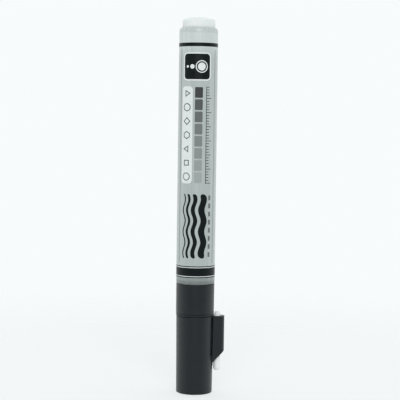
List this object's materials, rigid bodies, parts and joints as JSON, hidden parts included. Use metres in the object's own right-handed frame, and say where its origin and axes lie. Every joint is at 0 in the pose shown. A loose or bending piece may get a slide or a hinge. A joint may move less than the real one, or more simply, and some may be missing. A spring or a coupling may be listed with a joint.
{
  "type": "paint marker",
  "caption": "Valve-action paint marker: round barrel, black front section, pull-off cap with a pocket clip that holds a spare nib, pump nib and mixing ball.",
  "frame": {"origin": "middle of the cap's flat closed end, on the marker's axis", "axes": "+Z along the marker's axis towards the rear plug, +X towards the pocket clip"},
  "size_m": [0.0177, 0.014, 0.135],
  "materials": {
    "barrel_plastic": "translucent satin",
    "label_print": "printed pale grey film",
    "black_plastic": "satin moulded",
    "natural_plastic": "natural moulded",
    "valve_plastic": "natural moulded",
    "nib_fibre": "bonded fibre",
    "spring_steel": "drawn wire",
    "ball_steel": "polished",
    "seal_rubber": "matt"
  },
  "bodies": {
    "pen": {"barrel": "barrel_plastic", "label_film": "label_print", "rear_plug": "natural_plastic", "front_section": "black_plastic", "section_o_ring": "seal_rubber", "nib_guide": "natural_plastic", "valve_body": "valve_plastic", "valve_seat": "seal_rubber", "valve_spring": "spring_steel", "spring_cage": "valve_plastic"},
    "pump": {"nib": "nib_fibre", "valve_stem": "valve_plastic"},
    "ball": {"mixing_ball": "ball_steel"},
    "cap": {"cap_shell": "black_plastic", "inner_cap": "natural_plastic"},
    "spare": {"spare_nib": "nib_fibre"}
  },
  "joints": [
    {"name": "cap_pull", "type": "slide", "parent": "cap", "child": "pen", "axis": [0, 0, 1], "range_m": [0, 0.04]},
    {"name": "nib_press", "type": "slide", "parent": "pen", "child": "pump", "axis": [0, 0, 1], "range_m": [0, 0.002], "stiffness_N_per_m": 400, "springref_m": -0.002, "deforming": ["valve_spring"]},
    {"name": "ball_rattle", "type": "slide", "parent": "pen", "child": "ball", "axis": [0, 0, 1], "range_m": [0, 0.0734]},
    {"name": "spare_nib_slide", "type": "slide", "parent": "cap", "child": "spare", "axis": [0, 0, -1], "range_m": [0, 0.0215]}
  ]
}
